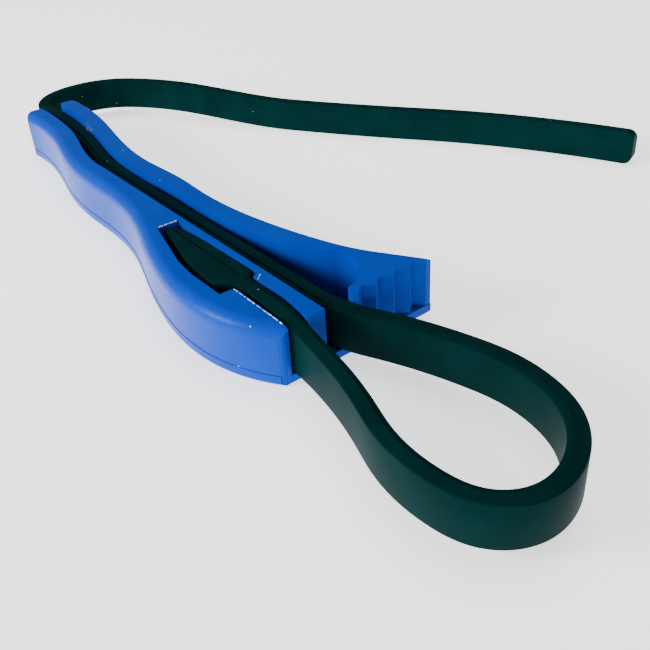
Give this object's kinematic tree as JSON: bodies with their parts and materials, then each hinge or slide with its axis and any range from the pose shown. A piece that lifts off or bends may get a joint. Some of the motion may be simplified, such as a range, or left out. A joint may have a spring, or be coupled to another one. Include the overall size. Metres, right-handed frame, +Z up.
{
  "type": "rubber strap wrench",
  "caption": "Strap wrench or jar opener: open-topped moulded handle with a toothed jaw, and a rubber strap with an arrow-shaped anchor, looped and doubled back.",
  "frame": {"origin": "on the handle's flat underside, midway along the handle, below the channel's straight wall", "axes": "+X along the handle towards the loop, +Y from the anchor arm to the toothed arm, +Z up out of the open channel"},
  "size_m": [0.2444, 0.1511, 0.0144],
  "materials": {
    "handle_plastic": "satin moulded",
    "strap_rubber": "satin moulded"
  },
  "bodies": {
    "handle": {"handle": "handle_plastic"},
    "strap_anchor": {"strap_anchor": "strap_rubber"},
    "loop_link_1": {"loop_link_1": "strap_rubber"},
    "loop_link_2": {"loop_link_2": "strap_rubber"},
    "loop_link_3": {"loop_link_3": "strap_rubber"},
    "loop_link_4": {"loop_link_4": "strap_rubber"},
    "loop_link_5": {"loop_link_5": "strap_rubber"},
    "loop_link_6": {"loop_link_6": "strap_rubber"},
    "channel_run": {"channel_run": "strap_rubber"},
    "bend_link_1": {"bend_link_1": "strap_rubber"},
    "bend_link_2": {"bend_link_2": "strap_rubber"},
    "tail_root": {"tail_root": "strap_rubber"},
    "tail_link_1": {"tail_link_1": "strap_rubber"},
    "tail_link_2": {"tail_link_2": "strap_rubber"},
    "tail_end": {"tail_end": "strap_rubber"}
  },
  "joints": [
    {"name": "strap_lift", "type": "slide", "parent": "handle", "child": "strap_anchor", "axis": [0, 0, 1], "range_m": [0, 0.018]},
    {"name": "strap_draw", "type": "hinge", "parent": "strap_anchor", "child": "loop_link_1", "pos_m": [0.08247, -0.00683, 0.0075], "axis": [0, 0, -1], "range_deg": [0, 7.3]},
    {"name": "loop_flex_1", "type": "hinge", "parent": "loop_link_1", "child": "loop_link_2", "pos_m": [0.10254, -0.01081, 0.0075], "axis": [0, 0, 1], "range_deg": [-0.1, 4.31]},
    {"name": "loop_flex_2", "type": "hinge", "parent": "loop_link_2", "child": "loop_link_3", "pos_m": [0.12185, -0.01561, 0.0075], "axis": [0, 0, 1], "range_deg": [-0.1, 12.53]},
    {"name": "loop_flex_3", "type": "hinge", "parent": "loop_link_3", "child": "loop_link_4", "pos_m": [0.13956, 0.00238, 0.0075], "axis": [0, 0, 1], "range_deg": [-0.1, 4.1]},
    {"name": "loop_flex_4", "type": "hinge", "parent": "loop_link_4", "child": "loop_link_5", "pos_m": [0.11552, 0.0166, 0.0075], "axis": [0, 0, 1], "range_deg": [-15.52, 0.1]},
    {"name": "loop_flex_5", "type": "hinge", "parent": "loop_link_5", "child": "loop_link_6", "pos_m": [0.09141, 0.01037, 0.0075], "axis": [0, 0, 1], "range_deg": [-18.33, 0.1]},
    {"name": "loop_flex_6", "type": "hinge", "parent": "loop_link_6", "child": "channel_run", "pos_m": [0.07454, 0.00435, 0.0075], "axis": [0, 0, 1], "range_deg": [-0.1, 20.41]},
    {"name": "tail_swing", "type": "hinge", "parent": "channel_run", "child": "bend_link_1", "pos_m": [-0.0889, 0.0115, 0.0075], "axis": [0, 0, 1], "range_deg": [-5, 40], "stiffness_Nm_per_rad": 0.004},
    {"name": "bend_flex_1", "type": "hinge", "parent": "bend_link_1", "child": "bend_link_2", "pos_m": [-0.09936, 0.02259, 0.0075], "axis": [0, 0, 1], "range_deg": [-5.1, 40.1]},
    {"name": "bend_flex_2", "type": "hinge", "parent": "bend_link_2", "child": "tail_root", "pos_m": [-0.09731, 0.03814, 0.0075], "axis": [0, 0, 1], "range_deg": [-5.1, 40.1]},
    {"name": "tail_curl", "type": "hinge", "parent": "tail_root", "child": "tail_link_1", "pos_m": [-0.07476, 0.0556, 0.0075], "axis": [0, 0, 1], "range_deg": [-5, 20], "stiffness_Nm_per_rad": 0.003},
    {"name": "curl_flex_1", "type": "hinge", "parent": "tail_link_1", "child": "tail_link_2", "pos_m": [-0.03487, 0.0764, 0.0075], "axis": [0, 0, 1], "range_deg": [-5.1, 20.1]},
    {"name": "curl_flex_2", "type": "hinge", "parent": "tail_link_2", "child": "tail_end", "pos_m": [0.00736, 0.10314, 0.0075], "axis": [0, 0, 1], "range_deg": [-5.1, 20.1]}
  ],
  "couplings": [
    {"joint": "loop_flex_1", "follows": "strap_draw", "ratio": 0.57671},
    {"joint": "loop_flex_2", "follows": "strap_draw", "ratio": 1.7027},
    {"joint": "loop_flex_3", "follows": "strap_draw", "ratio": 0.54795},
    {"joint": "loop_flex_4", "follows": "strap_draw", "ratio": -2.1123},
    {"joint": "loop_flex_5", "follows": "strap_draw", "ratio": -2.4973},
    {"joint": "loop_flex_6", "follows": "strap_draw", "ratio": 2.7822},
    {"joint": "bend_flex_1", "follows": "tail_swing", "ratio": 1},
    {"joint": "bend_flex_2", "follows": "tail_swing", "ratio": 1},
    {"joint": "curl_flex_1", "follows": "tail_curl", "ratio": 1},
    {"joint": "curl_flex_2", "follows": "tail_curl", "ratio": 1}
  ]
}
